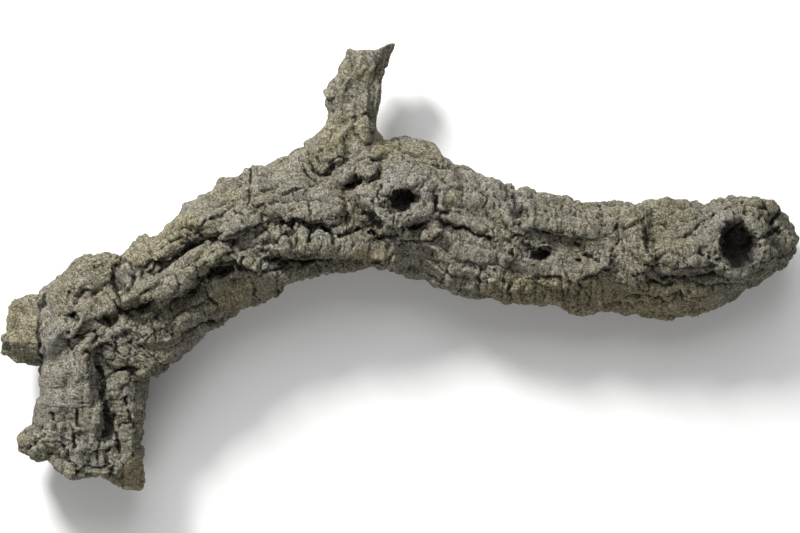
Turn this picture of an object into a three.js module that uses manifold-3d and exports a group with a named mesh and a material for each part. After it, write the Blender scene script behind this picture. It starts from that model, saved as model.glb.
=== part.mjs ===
// A branch of a cork oak, broken off at its foot and lying on a table.
// Millimetres, +Z up. The origin is on the table, under the middle of the branch.
// +X runs along the branch to its closed end, and +Y is the side where the upright stub grows.

import * as THREE from 'three';
import { mergeVertices } from 'three/addons/utils/BufferGeometryUtils.js';
import { ImprovedNoise } from 'three/addons/math/ImprovedNoise.js';
import Module from 'manifold-3d';

const wasm = await Module();
wasm.setup();

// Driving dimensions
const FORK_GAP = 0.3;
const BARK_WALL = 13;
const HOLLOW_DEPTH = 84;
const TABLE_EDGE = 420;
const CLEAR_ABOVE = 150;
const CLEAR_BELOW = -30;

// Size of the facets, along a limb and round it
const RING_STEP = 10.6;
const SIDE_STEP = 9.8;

// Stations of the main limb, from inside the elbow over the arch and the crown to the closed end.
// Each has a place on the centre line, the half width over the table and the half thickness.
// The centre line is low enough under the crown and near the end for the bark to rest there.
const MAIN_LIMB = [
  { at: [-252, -50, 52], wide: 44, thick: 44 },
  { at: [-214, -33, 54], wide: 49, thick: 46 },
  { at: [-185, -12, 56], wide: 48, thick: 46 },
  { at: [-149, 11, 57], wide: 50, thick: 46 },
  { at: [-114, 29, 56], wide: 51, thick: 45 },
  { at: [-75, 41, 54], wide: 51, thick: 46 },
  { at: [-40, 46, 51], wide: 52, thick: 47 },
  { at: [0, 49, 49], wide: 54, thick: 47 },
  { at: [39, 34, 50], wide: 51, thick: 47 },
  { at: [86, 18, 50], wide: 49, thick: 45 },
  { at: [128, 12, 49], wide: 46, thick: 43 },
  { at: [171, 7, 48], wide: 45, thick: 43 },
  { at: [213, 7, 46], wide: 47, thick: 44 },
  { at: [256, 8, 44], wide: 46, thick: 46 },
  { at: [290, 18, 44], wide: 39, thick: 42 },
  { at: [315, 25, 45], wide: 30, thick: 33 },
  { at: [331, 26, 45], wide: 19, thick: 22 },
  { at: [338, 26, 45], wide: 9, thick: 11 },
];

// The foot, from beyond its torn end up to the rounded top of the elbow.
const FOOT = [
  { at: [-268, -204, 49], wide: 49, thick: 45 },
  { at: [-265, -165, 48], wide: 48, thick: 46 },
  { at: [-260, -114, 47], wide: 46, thick: 48 },
  { at: [-261, -71, 49], wide: 46, thick: 48 },
  { at: [-261, -41, 52], wide: 44, thick: 46 },
  { at: [-257, -16, 52], wide: 36, thick: 38 },
  { at: [-254, 2, 52], wide: 21, thick: 22 },
  { at: [-253, 9, 52], wide: 8, thick: 9 },
];

const LEFT_STUB = [
  { at: [-276, -53, 55], wide: 33, thick: 28 },
  { at: [-304, -54, 56], wide: 32, thick: 28 },
  { at: [-322, -54, 56], wide: 29, thick: 26 },
  { at: [-331, -54, 56], wide: 26, thick: 23 },
  { at: [-335, -53, 56], wide: 19, thick: 17 },
];

const UPRIGHT_STUB = [
  { at: [-42, 70, 54], wide: 38, thick: 36 },
  { at: [-43, 97, 55], wide: 31, thick: 30 },
  { at: [-40, 113, 56], wide: 24, thick: 24 },
  { at: [-39, 128, 57], wide: 21, thick: 21 },
  { at: [-38, 143, 57], wide: 22, thick: 22 },
  { at: [-35, 158, 58], wide: 21, thick: 21 },
  { at: [-30, 171, 58], wide: 18, thick: 19 },
  { at: [-22, 190, 59], wide: 19, thick: 17 },
];

// The torn end of the foot over the table, from its left lumps to the flap at its right.
const TORN_END = [
  [-327, -146],
  [-315, -160],
  [-305, -165],
  [-298, -162],
  [-290, -172],
  [-277, -181],
  [-271, -177],
  [-256, -178],
  [-246, -182],
  [-235, -187],
  [-218, -189],
  [-216, -184],
  [-219, -166],
  [-218, -150],
  [-213, -113],
];

// The broken top of the upright stub over the table, with its pointed tip at the right.
const BROKEN_TOP = [
  [-46, 182],
  [-35, 182],
  [-18, 184],
  [-9, 188],
  [-6, 188],
  [-7, 181],
];

// Swellings of the bark, each along a line over the table, with its half width and height.
const RIDGES = [
  { name: 'elbow crown', wide: 23, high: 8, line: [[-282, -22], [-266, -6], [-250, 2]] },
  { name: 'elbow shoulder', wide: 15, high: 9, line: [[-228, 0], [-214, 12]] },
  { name: 'elbow cheek', wide: 15, high: 4, line: [[-290, -40], [-292, -70]] },
  { name: 'foot left lumps', wide: 15, high: 17, line: [[-320, -146], [-302, -154]] },
  { name: 'foot left flank', wide: 13, high: 3, line: [[-302, -118], [-308, -138]] },
  { name: 'foot slab', wide: 14, high: 5, line: [[-276, -92], [-270, -150]] },
  { name: 'foot flap', wide: 14, high: 3, line: [[-226, -120], [-226, -180]] },
  { name: 'arch root', wide: 17, high: 11, line: [[-214, -86], [-196, -74]] },
  { name: 'arch upper plate', wide: 16, high: 6, line: [[-172, 42], [-132, 74]] },
  { name: 'arch notch plate', wide: 15, high: 4, line: [[-124, 82], [-100, 88]] },
  { name: 'arch lower plate', wide: 14, high: 8, line: [[-192, -10], [-156, 12]] },
  { name: 'arch knob', wide: 13, high: 9, line: [[-128, 2], [-122, 4]] },
  { name: 'arch column ridge', wide: 14, high: 8, line: [[-106, 22], [-44, 20]] },
  { name: 'stub root', wide: 20, high: 11, line: [[-88, 92], [-66, 98]] },
  { name: 'stub side bump', wide: 9, high: 4, line: [[-61, 145], [-61, 152]] },
  { name: 'crown left lump', wide: 13, high: 10, line: [[-30, 84], [-22, 88]] },
  { name: 'crown mass', wide: 38, high: 11, line: [[-10, 64], [22, 60]] },
  { name: 'crown top lump', wide: 14, high: 7, line: [[-8, 98], [28, 90]] },
  { name: 'crown lower lens', wide: 12, high: 9, line: [[-2, 25], [32, 24]] },
  { name: 'small knot boss', wide: 15, high: 7, line: [[98, 46], [106, 42]] },
  { name: 'rot hole cheek', wide: 12, high: 5, line: [[96, 12], [106, -2]] },
  { name: 'limb pit boss', wide: 13, high: 5, line: [[160, -6], [172, 2]] },
  { name: 'limb ring fold', wide: 14, high: 8, line: [[196, 44], [202, 16], [198, -16]] },
  { name: 'limb upper lumps', wide: 13, high: 4, line: [[232, 50], [250, 52]] },
  { name: 'end long lump', wide: 15, high: 9, line: [[214, 10], [264, 2]] },
  { name: 'end knot boss', wide: 34, high: 7, line: [[282, 28], [290, 14]] },
  { name: 'end first lump', wide: 10, high: 3, line: [[276, 54], [288, 54]] },
  { name: 'end second lump', wide: 9, high: 6, line: [[298, 54], [308, 53]] },
  { name: 'end third lump', wide: 10, high: 8, line: [[312, 44], [318, 52]] },
  { name: 'end tip lump', wide: 11, high: 5, line: [[328, 30], [334, 18]] },
];

// Ledges and fissures, each along a line over the table. The bark stands up by lift on the left
// of its line and falls by drop on the right.
const LEDGES = [
  { name: 'elbow ledge', lift: 5, drop: 9, line: [[-276, -62], [-258, -49], [-243, -41], [-204, -28]] },
  { name: 'elbow fissure', lift: 3, drop: 9, line: [[-242, -38], [-238, -24], [-243, -2], [-236, 14]] },
  { name: 'foot fissure', lift: 5, drop: 13, line: [[-243, -148], [-250, -124], [-254, -78]] },
  { name: 'foot side ledge', lift: 5, drop: 7, line: [[-250, -88], [-238, -84], [-222, -84]] },
  { name: 'foot slab edge', lift: 2, drop: 6, line: [[-284, -152], [-288, -124], [-284, -96]] },
  { name: 'arch valley', lift: 5, drop: 9, line: [[-212, -6], [-196, 8], [-172, 22]] },
  { name: 'arch shoulder', lift: 5, drop: 8, line: [[-164, 26], [-146, 25], [-128, 31], [-112, 40]] },
  { name: 'arch lower shadow', lift: 6, drop: 11, line: [[-196, -34], [-178, -20], [-162, -4]] },
  { name: 'arch upper step', lift: 6, drop: 4, line: [[-127, 92], [-128, 72], [-130, 54]] },
  { name: 'arch column shadow', lift: 4, drop: 8, line: [[-94, 38], [-66, 39], [-42, 37]] },
  { name: 'arch under shadow', lift: 5, drop: 11, line: [[-98, 7], [-60, 6], [-16, 2]] },
  { name: 'crown side crevice', lift: 8, drop: 11, line: [[-42, 66], [-28, 46], [-14, 30]] },
  { name: 'crown lower crevice', lift: 8, drop: 8, line: [[-14, 31], [6, 35], [28, 38]] },
  { name: 'crown right crevice', lift: -2, drop: 8, line: [[26, 72], [34, 54], [46, 38], [82, 25]] },
  { name: 'limb middle crack', lift: 5, drop: 6, line: [[108, 32], [130, 29], [154, 23]] },
  { name: 'limb low ledge', lift: 5, drop: 6, line: [[148, -12], [164, -7], [178, 0]] },
  { name: 'limb ring crack', lift: 4, drop: 7, line: [[206, -4], [211, 14], [207, 34]] },
  { name: 'end lower line', lift: 4, drop: 7, line: [[228, -8], [250, -4], [270, 0]] },
  { name: 'end upper line', lift: 4, drop: 6, line: [[292, 43], [306, 37], [324, 37]] },
];
const LIFT_START = 5;
const LIFT_WIDTH = 19;
const DROP_START = 2;
const DROP_WIDTH = 13;

// Knot holes and pits in the upper side: middle of the mouth, radii of the mouth, depth, turn.
const PITS = [
  { name: 'crown knot hole', at: [4, 55, 104], mouth: [8.5, 7.5], deep: 20, turn: 30 },
  { name: 'end knot hole', at: [285, 20, 92], mouth: [13, 18], deep: 22, turn: 12 },
  { name: 'small knot hole', at: [102, 45, 98], mouth: [6, 5], deep: 9, turn: 0 },
  { name: 'limb rot hole', at: [121, 10, 94], mouth: [11, 7], deep: 13, turn: 20 },
  { name: 'elbow pit', at: [-276, -42, 100], mouth: [5, 5], deep: 10, turn: 0 },
  { name: 'arch cave', at: [-149, -4, 95], mouth: [14, 7], deep: 17, turn: 12 },
  { name: 'crown cave', at: [-38, 71, 99], mouth: [11, 7], deep: 16, turn: 35 },
];

// Raised collars round the two large knot holes, sunk halfway into the bark.
const COLLARS = [
  { name: 'crown collar', at: [3, 55, 99], ring: 14, tube: 6, stretch: [1.05, 0.98], tilt: [4, 6] },
  { name: 'end collar', at: [286, 20, 86], ring: 18, tube: 7, stretch: [0.92, 1.22], tilt: [2, 12] },
];
const COLLAR_HEIGHT = 1.3;

// Planes that part the branch at its main forks, each through two points over the table.
const ELBOW_FORK = [[-238, 12], [-205, -98]];
const CROWN_FORK = [[-46, 104], [-12, -6]];
const UPRIGHT_FORK = [[-92, 101], [8, 118]];

// The left stub is what lies within this span over the table.
const LEFT_FORK = { low: [-TABLE_EDGE, -92], high: [-304, 8] };

// Bark relief: long plates, short columns across them, and knobs, with their size and height.
const PLATE = { along: 58, round: 24, high: 7 };
const COLUMN = { along: 20, round: 55, high: 4 };
const KNOB = { size: 30, high: 6 };
const WANDER = { size: 70, share: 0.5 };
const PLATE_EDGE = 0.28;
const MEAN_PLATE = 0.7;
const FULL_RELIEF_RADIUS = 24;

const noise = new ImprovedNoise();

// Height of a surface of plates, from 0 in the valleys to 1 on the plates.
function platesAt(along, round, seed) {
  return Math.min(1, Math.abs(noise.noise(along, round, seed)) / PLATE_EDGE);
}

function barkRelief(along, round, point, seed) {
  const wander = WANDER.share * noise.noise(point.x / WANDER.size, point.y / WANDER.size, seed + 9.5);
  const plate = platesAt(along / PLATE.along, round / PLATE.round + wander, seed);
  const column = platesAt(along / COLUMN.along, round / COLUMN.round, seed + 31.7);
  const knob = noise.noise(point.x / KNOB.size, point.y / KNOB.size, point.z / KNOB.size);
  return PLATE.high * (plate - MEAN_PLATE) + COLUMN.high * (column - MEAN_PLATE) + KNOB.high * knob;
}

// Nearest distance from a place to a line of points, and whether the place is left of the line.
function nearLine(x, y, line) {
  let nearest = { gap: Infinity, left: true };
  for (let i = 1; i < line.length; i += 1) {
    const [ax, ay] = line[i - 1];
    const [dx, dy] = [line[i][0] - ax, line[i][1] - ay];
    const share = ((x - ax) * dx + (y - ay) * dy) / (dx * dx + dy * dy);
    const along = THREE.MathUtils.clamp(share, 0, 1);
    const gap = Math.hypot(x - ax - along * dx, y - ay - along * dy);
    if (gap < nearest.gap) nearest = { gap, left: dx * (y - ay) - dy * (x - ax) > 0 };
  }
  return nearest;
}

function falloff(gap, wide) {
  if (gap >= wide) return 0;
  return (1 - (Math.max(gap, 0) / wide) ** 2) ** 2;
}

// Height of the named ridges and ledges at a place, on the side of the limb that faces up.
function formRelief(point, outward) {
  const facing = THREE.MathUtils.smoothstep(outward.z, -0.8, -0.1);
  if (facing === 0) return 0;
  let height = 0;
  for (const { line, wide, high } of RIDGES) {
    height += high * falloff(nearLine(point.x, point.y, line).gap, wide);
  }
  for (const { line, lift, drop } of LEDGES) {
    const { gap, left } = nearLine(point.x, point.y, line);
    if (left) height += lift * falloff(gap - LIFT_START, LIFT_WIDTH);
    else height -= drop * falloff(gap - DROP_START, DROP_WIDTH);
  }
  return height * facing;
}

// Turns a closed geometry into a solid that can be joined and cut.
function solidOf(geometry) {
  geometry.deleteAttribute('normal');
  geometry.deleteAttribute('uv');
  const merged = mergeVertices(geometry, 0.001);
  const mesh = new wasm.Mesh({
    numProp: 3,
    vertProperties: new Float32Array(merged.getAttribute('position').array),
    triVerts: new Uint32Array(merged.getIndex().array),
  });
  return new wasm.Manifold(mesh);
}

// A limb is a closed cylinder whose rings follow the stations, with bark relief on its side.
function limb(stations, seed) {
  const path = new THREE.CatmullRomCurve3(stations.map(({ at }) => new THREE.Vector3(...at)));
  const sizes = new THREE.CatmullRomCurve3(
    stations.map(({ wide, thick }) => new THREE.Vector3(wide, thick, 0)),
  );
  const length = path.getLength();
  const radius = Math.max(...stations.map(({ wide, thick }) => (wide + thick) / 2));
  const rings = Math.round(length / RING_STEP);
  const sides = Math.round((2 * Math.PI * radius) / SIDE_STEP);
  const geometry = new THREE.CylinderGeometry(1, 1, 1, sides, rings);
  const place = geometry.getAttribute('position');
  for (let i = 0; i < place.count; i += 1) {
    const share = THREE.MathUtils.clamp(place.getY(i) + 0.5, 0, 1);
    const onSide = Math.hypot(place.getX(i), place.getZ(i));
    const angle = Math.atan2(place.getZ(i), place.getX(i));
    const t = path.getUtoTmapping(share);
    const size = sizes.getPoint(t);
    const ahead = path.getTangent(t);
    const outward = new THREE.Vector3(ahead.y, -ahead.x, 0).normalize().multiplyScalar(Math.cos(angle));
    outward.z = Math.sin(angle);
    const reach = new THREE.Vector3(size.x, size.x, size.y).multiplyScalar(onSide);
    const point = path.getPoint(t).add(reach.multiply(outward));
    const fade = Math.min(1, Math.min(size.x, size.y) / FULL_RELIEF_RADIUS);
    const bark = fade * barkRelief(share * length, angle * radius, point, seed);
    if (onSide > 0.5) point.addScaledVector(outward, bark + formRelief(point, outward));
    place.setXYZ(i, point.x, point.y, point.z);
  }
  return solidOf(geometry);
}

function egg(at, radii, turn = 0) {
  const geometry = new THREE.SphereGeometry(1, 14, 8);
  geometry.rotateX(Math.PI / 2);
  geometry.scale(...radii);
  geometry.rotateZ(THREE.MathUtils.degToRad(turn));
  geometry.translate(...at);
  return solidOf(geometry);
}

function pit({ at, mouth, deep, turn }) {
  return egg(at, [...mouth, deep], turn);
}

function collar({ at, ring, tube, stretch, tilt }) {
  const geometry = new THREE.TorusGeometry(ring, tube, 8, 18);
  geometry.scale(...stretch, COLLAR_HEIGHT);
  geometry.rotateX(THREE.MathUtils.degToRad(tilt[0]));
  geometry.rotateY(THREE.MathUtils.degToRad(tilt[1]));
  geometry.translate(...at);
  return solidOf(geometry);
}

// An upright block over an outline on the table, through the whole height of the branch.
function blockOver(outline) {
  const shape = new THREE.Shape(outline.map(([x, y]) => new THREE.Vector2(x, y)));
  const depth = CLEAR_ABOVE - CLEAR_BELOW;
  const geometry = new THREE.ExtrudeGeometry(shape, { depth, bevelEnabled: false });
  geometry.translate(0, 0, CLEAR_BELOW);
  return solidOf(geometry);
}

function box(low, high) {
  const [from, to] = [new THREE.Vector3(...low), new THREE.Vector3(...high)];
  const size = to.clone().sub(from);
  const middle = from.clone().add(to).divideScalar(2);
  const geometry = new THREE.BoxGeometry(size.x, size.y, size.z);
  geometry.translate(middle.x, middle.y, middle.z);
  return solidOf(geometry);
}

// The foot is hollow at its torn end, and the hollow narrows and closes further up.
function footHollow() {
  const inner = FOOT[1].wide - BARK_WALL;
  const mouthReach = -40;
  const profile = [
    [0, mouthReach],
    [inner * 1.02, mouthReach],
    [inner, 0],
    [inner * 0.92, HOLLOW_DEPTH * 0.4],
    [inner * 0.75, HOLLOW_DEPTH * 0.7],
    [inner * 0.45, HOLLOW_DEPTH * 0.93],
    [0, HOLLOW_DEPTH],
  ];
  const geometry = new THREE.LatheGeometry(profile.map(([r, y]) => new THREE.Vector2(r, y)), 16);
  geometry.scale(1, 1, 0.86);
  geometry.rotateZ(THREE.MathUtils.degToRad(-3));
  geometry.translate(-266, -180, FOOT[1].at[2]);
  return solidOf(geometry);
}

function foot() {
  const flank = [[-213, 60], [-345, 60], [-345, -140]];
  return limb(FOOT, 1.4).intersect(blockOver([...TORN_END, ...flank])).subtract(footHollow());
}

function leftStub() {
  const scar = egg([-341, -56, 57], [7, 14, 13]);
  return limb(LEFT_STUB, 5.9).subtract(scar);
}

function uprightStub() {
  const flank = [[20, 100], [20, 60], [-100, 60], [-90, 100], [-56, 178]];
  const hollow = egg([-27, 190, 58], [10, 15, 9]);
  return limb(UPRIGHT_STUB, 3.3).intersect(blockOver([...BROKEN_TOP, ...flank])).subtract(hollow);
}

// The whole branch before it is parted, cut level where it rests on the table.
function wholeBranch() {
  const mainLimb = limb(MAIN_LIMB, 0.4).subtract(footHollow());
  const grown = [mainLimb, foot(), leftStub(), uprightStub(), ...COLLARS.map(collar)];
  const solid = grown.reduce((sum, one) => sum.add(one));
  const pitted = PITS.map(pit).reduce((rest, hole) => rest.subtract(hole), solid);
  const aboveTable = box([-TABLE_EDGE, -TABLE_EDGE, 0], [TABLE_EDGE, TABLE_EDGE, CLEAR_ABOVE]);
  return pitted.intersect(aboveTable);
}

// One side of a fork plane: a large block, half a gap away from the plane.
function sideOf([from, to], sign) {
  const reach = 4 * TABLE_EDGE;
  const geometry = new THREE.BoxGeometry(reach, reach, reach);
  geometry.translate((sign * (reach + FORK_GAP)) / 2, 0, 0);
  geometry.rotateZ(Math.atan2(to[1] - from[1], to[0] - from[0]) + Math.PI / 2);
  geometry.translate(from[0], from[1], 0);
  return solidOf(geometry);
}

// The space of the left stub, grown by a distance on the sides where it meets the branch.
function forkSpace({ low, high }, grow) {
  const lowCorner = [low[0] - grow, low[1] - grow, CLEAR_BELOW];
  return box(lowCorner, [high[0] + grow, high[1] + grow, CLEAR_ABOVE]);
}

function piecesOf(branch) {
  const half = FORK_GAP / 2;
  const belowUpright = branch.intersect(sideOf(UPRIGHT_FORK, -1));
  const withoutStubs = belowUpright.subtract(forkSpace(LEFT_FORK, half));
  const pastElbow = withoutStubs.intersect(sideOf(ELBOW_FORK, 1));
  return {
    foot_limb: withoutStubs.intersect(sideOf(ELBOW_FORK, -1)),
    left_stub: branch.intersect(forkSpace(LEFT_FORK, -half)),
    arch_limb: pastElbow.intersect(sideOf(CROWN_FORK, -1)),
    upright_stub: branch.intersect(sideOf(UPRIGHT_FORK, 1)),
    right_limb: pastElbow.intersect(sideOf(CROWN_FORK, 1)),
  };
}

const BARK_COLOURS = {
  foot_limb: 0x99947f,
  left_stub: 0x9c9780,
  arch_limb: 0x96907c,
  upright_stub: 0xa09b85,
  right_limb: 0x7d7867,
};
const BARK_ROUGHNESS = 0.93;

function barkMesh(name, solid) {
  const { vertProperties, triVerts } = solid.getMesh();
  const geometry = new THREE.BufferGeometry();
  geometry.setAttribute('position', new THREE.BufferAttribute(vertProperties, 3));
  geometry.setIndex(new THREE.BufferAttribute(triVerts, 1));
  const material = new THREE.MeshStandardMaterial({
    color: BARK_COLOURS[name],
    roughness: BARK_ROUGHNESS,
    metalness: 0,
  });
  const mesh = new THREE.Mesh(geometry, material);
  mesh.name = name;
  return mesh;
}

const corkBranch = new THREE.Group();
for (const [name, solid] of Object.entries(piecesOf(wholeBranch()))) {
  corkBranch.add(barkMesh(name, solid));
}

export default corkBranch;
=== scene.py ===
import math
from itertools import product

import bmesh
import bpy
import numpy as np
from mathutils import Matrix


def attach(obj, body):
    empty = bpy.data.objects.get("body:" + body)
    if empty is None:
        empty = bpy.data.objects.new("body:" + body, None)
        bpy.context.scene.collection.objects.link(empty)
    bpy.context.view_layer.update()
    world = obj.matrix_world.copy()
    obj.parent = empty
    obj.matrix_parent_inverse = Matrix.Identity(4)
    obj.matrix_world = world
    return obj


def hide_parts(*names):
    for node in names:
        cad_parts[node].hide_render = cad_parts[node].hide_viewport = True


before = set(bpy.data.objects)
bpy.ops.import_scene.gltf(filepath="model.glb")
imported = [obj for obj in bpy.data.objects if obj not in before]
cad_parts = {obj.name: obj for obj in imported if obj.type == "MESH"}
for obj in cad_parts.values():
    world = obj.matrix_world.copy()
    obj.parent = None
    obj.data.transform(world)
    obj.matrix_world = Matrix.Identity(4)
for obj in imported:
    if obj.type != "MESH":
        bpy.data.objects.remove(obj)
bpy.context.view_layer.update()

# Sizes are in metres unless a name says otherwise
MM = 0.001
TINY = 1e-12
BODY = "root"

# The plan is the view from straight above, counted in steps from its top left
PLAN_STEP = 0.85 * MM
PLAN_MIDDLE = (400.0, 266.5)
PLAN_HEIGHT = 50 * MM

# Camera, straight above the branch
VIEW_WIDTH = 0.68
AIM_X = 0.85 * MM
LENS_MM = 135.0
SENSOR_MM = 36.0
CAMERA_RISE = VIEW_WIDTH * LENS_MM / SENSOR_MM

# Mesh sizes
SWELL = 0.4 * MM
FORM_CELL = 1.25 * MM
BARK_CELL = 1.1 * MM
FORM_SMOOTHING = 7
CAP_DEPTH = 4 * MM

MOST_TRIANGLES = 190000

# How far a raised edge reaches on its two sides and past its ends in plan steps, and an oval in half widths
LIFT_REACH = 11
DROP_REACH = 6
END_REACH = 5
OVAL_REACH = 1.8

# The share of their depth that cracks are cut, and the most that a crack and any other mark can be
CUT_SHARE = 0.7
DEEPEST_CUT = 5.5 * MM
TALLEST_MARK = 6 * MM

# Cork grows in layers this thick, in millimetres
LAYER_MM = 1.5

# A small and a large hollow this deep are as dark as hollows get
PIT_DEPTH = 0.5 * MM
HOLLOW_DEPTH = 2.2 * MM

# Fork planes, seen from above, in millimetres
ELBOW_FORK = ((-238, 12), (-205, -98))
CROWN_FORK = ((-46, 104), (-12, -6))
UPRIGHT_FORK = ((-92, 103), (8, 118))
UPRIGHT_FORK_LEFT = -77
LEFT_FORK_X = -304
LEFT_FORK_LOW = -84

# Middle lines of the limbs, in millimetres, that the grain of the bark follows
TRUNK_LINE = [
    (-268, -214, 49), (-265, -165, 48), (-260, -114, 47), (-256, -71, 49), (-241, -40, 52),
    (-214, -22, 54), (-185, -5, 56), (-149, 14, 57), (-114, 29, 56), (-75, 41, 54),
    (-40, 46, 51), (0, 45, 49), (39, 34, 50), (86, 18, 50), (128, 12, 49), (171, 7, 48),
    (213, 7, 46), (256, 8, 44), (290, 18, 44), (315, 25, 45), (345, 26, 45),
]
LEFT_LINE = [(-262, -53, 55), (-304, -54, 56), (-350, -54, 56)]
UPRIGHT_LINE = [
    (-42, 60, 54), (-43, 97, 55), (-40, 118, 56), (-38, 143, 57), (-30, 171, 58), (-20, 196, 59),
]
LINE_STEP = 4 * MM
CURVE_CUTS = 24

# Stubs: middle line, thickness beside the trunk's, share of relief, and metres to its own part of the noise
STUBS = [(LEFT_LINE, 0.62, 0.6, 2), (UPRIGHT_LINE, 0.5, 0.3, 3)]
JOIN_REACH = 14 * MM

# Edges of bark: lift of the raised side and depth of the crack along it in millimetres, then half width of
# the crack and its line in plan steps. The raised side is on the left of the way the line runs
RAISED_EDGES = [
    (1.5, 0, 1.5, [(12, 303), (9, 320), (5, 338)]),
    (3, 8, 2.4, [(115, 303), (122, 311), (130, 310), (140, 308), (152, 301)]),
    (2.5, 6, 2.2, [(143, 292), (150, 290), (161, 283)]), (1.5, 4, 1.5, [(73, 302), (80, 296), (88, 290)]),
    (2.5, 4.5, 1.7, [(75, 337), (84, 334), (92, 329)]),
    (2, 5, 2, [(82, 353), (91, 352), (97, 346), (106, 344), (112, 346)]),
    (1, 5, 2.2, [(108, 377), (115, 371), (124, 368), (134, 367)]),
    (2, 3.5, 1.5, [(78, 471), (86, 465), (97, 467), (107, 466)]),
    (2.5, 6, 1.8, [(249, 165), (251, 178), (250, 190), (249, 206)]),
    (3, 4, 1.6, [(181, 229), (186, 226), (191, 228)]),
    (3.5, 6, 2.4, [(158, 262), (166, 259), (178, 254), (188, 247), (196, 243)]),
    (2.5, 3.5, 1.6, [(166, 242), (176, 240), (186, 238), (195, 241)]),
    (2.5, 3, 1.5, [(197, 243), (207, 239), (217, 235), (221, 230)]),
    (2.5, 1.5, 1.4, [(192, 223), (205, 222), (214, 219), (224, 213)]),
    (4, 7, 2, [(227, 238), (234, 236), (242, 232), (251, 227), (259, 223)]),
    (4.5, 8, 2.6, [(263, 241), (270, 242), (277, 241), (281, 236), (291, 231)]),
    (3.5, 7, 2, [(290, 221), (300, 220), (309, 222), (321, 221), (327, 226)]),
    (3, 5.5, 2.4, [(281, 264), (292, 260), (305, 258), (320, 260), (350, 260), (380, 262)]),
    (3, 7, 2.4, [(214, 266), (222, 263), (233, 263), (242, 269), (252, 272)]),
    (2, 4, 1.6, [(260, 274), (270, 271), (280, 269), (285, 264)]),
    (4, 8, 3, [(172, 303), (180, 297), (190, 291), (199, 285), (203, 278)]),
    (3, 6, 2.2, [(182, 333), (192, 329), (200, 324), (212, 319)]),
    (2.5, 3.5, 1.7, [(183, 268), (192, 262), (203, 257), (211, 252)]),
    (2, 3, 1.5, [(212, 262), (220, 256), (230, 251)]), (2, 3.5, 1.6, [(176, 276), (180, 282), (178, 288)]),
    (0.8, 2.4, 1.2, [(344, 121), (351, 117), (357, 114), (367, 115), (375, 117)]),
    (0.6, 1.8, 1.2, [(372, 116), (374, 95), (377, 62)]),
    (2.5, 4.5, 1.6, [(310, 160), (313, 168), (320, 173), (328, 171), (334, 165)]),
    (1.5, 3.5, 1.4, [(331, 162), (338, 156), (343, 157)]),
    (1.5, 3, 1.3, [(262, 192), (270, 188), (278, 186)]), (1.5, 3, 1.3, [(283, 193), (291, 190)]),
    (1.5, 3, 1.3, [(296, 190), (303, 187)]), (1.5, 3, 1.3, [(305, 192), (313, 186)]),
    (2, 4.5, 1.7, [(371, 160), (378, 159), (386, 155)]),
    (3.5, 9, 2.8, [(347, 185), (354, 182), (362, 181), (370, 178), (378, 173)]),
    (2.5, 7, 2.2, [(371, 231), (378, 237), (390, 237), (397, 234)]),
    (2.5, 6.5, 2, [(326, 226), (333, 233), (340, 236), (347, 232), (358, 229)]),
    (3, 5.5, 1.7, [(401, 243), (412, 241), (422, 243), (431, 240), (441, 232)]),
    (2, 4, 1.4, [(436, 163), (441, 167), (447, 166)]),
    (3, 6.5, 1.9, [(448, 222), (455, 226), (463, 226), (470, 230), (478, 235), (491, 240)]),
    (3, 5.5, 1.8, [(531, 228), (545, 232), (555, 235), (565, 237), (578, 239)]),
    (3.5, 6.5, 2.1, [(578, 280), (590, 277), (598, 273), (608, 269)]),
    (2, 3, 1.5, [(534, 276), (548, 276), (562, 278)]), (3, 7, 2, [(647, 253), (646, 240), (644, 229)]),
    (2.5, 3.5, 1.6, [(682, 236), (694, 230), (702, 223), (714, 215)]),
    (3.5, 5.5, 1.9, [(674, 269), (690, 268), (700, 269), (714, 266)]),
    (2.5, 5, 1.9, [(654, 281), (664, 286), (673, 283)]),
    (3, 4.5, 1.6, [(743, 229), (750, 237), (760, 239), (768, 234), (776, 228)]),
    (2, 3, 1.3, [(680, 289), (687, 296), (695, 301)]), (2, 3, 1.4, [(655, 258), (668, 252), (682, 249)]),
]

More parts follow.
